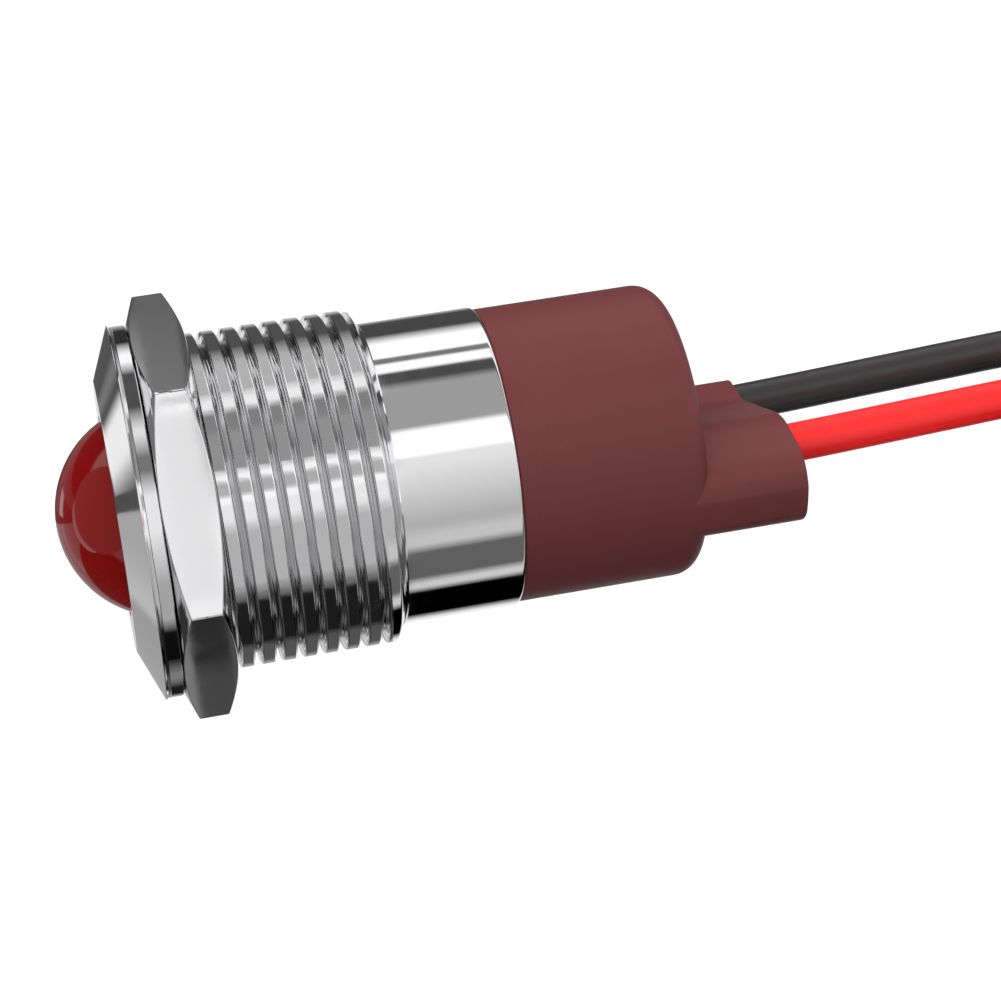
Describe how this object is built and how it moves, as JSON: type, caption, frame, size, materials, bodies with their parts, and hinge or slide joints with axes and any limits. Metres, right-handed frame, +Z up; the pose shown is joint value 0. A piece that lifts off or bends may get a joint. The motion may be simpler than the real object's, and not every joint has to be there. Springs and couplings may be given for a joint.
{
  "type": "panel pilot light",
  "caption": "Round panel pilot light: plated threaded body with a dished bezel, red dome lens, clamping nut, washer, rear boot and two flying leads.",
  "frame": {"origin": "centre of the flange's rear face, on the light's axis, where the light seats on the panel", "axes": "+Y along the light's axis from the dome to the leads, +Z up, with two corners of the nut on Z"},
  "size_m": [0.0178, 0.0737, 0.0461],
  "materials": {
    "plated_body": "bright plated",
    "plated_hardware": "bright plated",
    "red_lens": "polished, translucent",
    "lamp_resin": "moulded",
    "black_moulding": "moulded",
    "seal_rubber": "matt",
    "tinned_wire": "tinned",
    "solder": "bright solder",
    "board_laminate": "coated laminate",
    "resistor_coat": "lacquered",
    "potting_resin": "cast",
    "maroon_sleeve": "shrunk, satin",
    "black_insulation": "satin",
    "red_insulation": "satin",
    "tie_plastic": "satin"
  },
  "bodies": {
    "light": {"housing": "plated_body", "lens": "red_lens", "lens_seal": "seal_rubber", "lamp": "lamp_resin", "lamp_holder": "black_moulding", "lamp_anode_leg": "tinned_wire", "lamp_cathode_leg": "tinned_wire", "insulating_sleeve": "black_moulding", "circuit_board": "board_laminate", "series_resistor": "resistor_coat", "resistor_front_leg": "tinned_wire", "resistor_rear_leg": "tinned_wire", "reverse_diode": "black_moulding", "black_wire": "tinned_wire", "red_wire": "tinned_wire", "solder_joints": "solder", "potting_plug": "potting_resin", "rear_boot": "maroon_sleeve", "black_lead": "black_insulation", "red_lead": "red_insulation", "black_lead_coil": "black_insulation", "red_lead_coil": "red_insulation", "black_lead_end": "black_insulation", "red_lead_end": "red_insulation", "black_lead_tip": "tinned_wire", "red_lead_tip": "tinned_wire", "coil_tie": "tie_plastic"},
    "washer": {"panel_washer": "plated_hardware"},
    "nut": {"panel_nut": "plated_hardware"}
  },
  "joints": [
    {"name": "washer_slide", "type": "slide", "parent": "light", "child": "washer", "axis": [0, 1, 0], "range_m": [0, 0.0075]},
    {"name": "nut_turn", "type": "hinge", "parent": "washer", "child": "nut", "pos_m": [0, 0.0019, 0], "axis": [0, 1, 0], "range_deg": [0, 2520]}
  ],
  "couplings": [
    {"joint": "washer_slide", "follows": "nut_turn", "m_per_rad": 0.00015915}
  ]
}
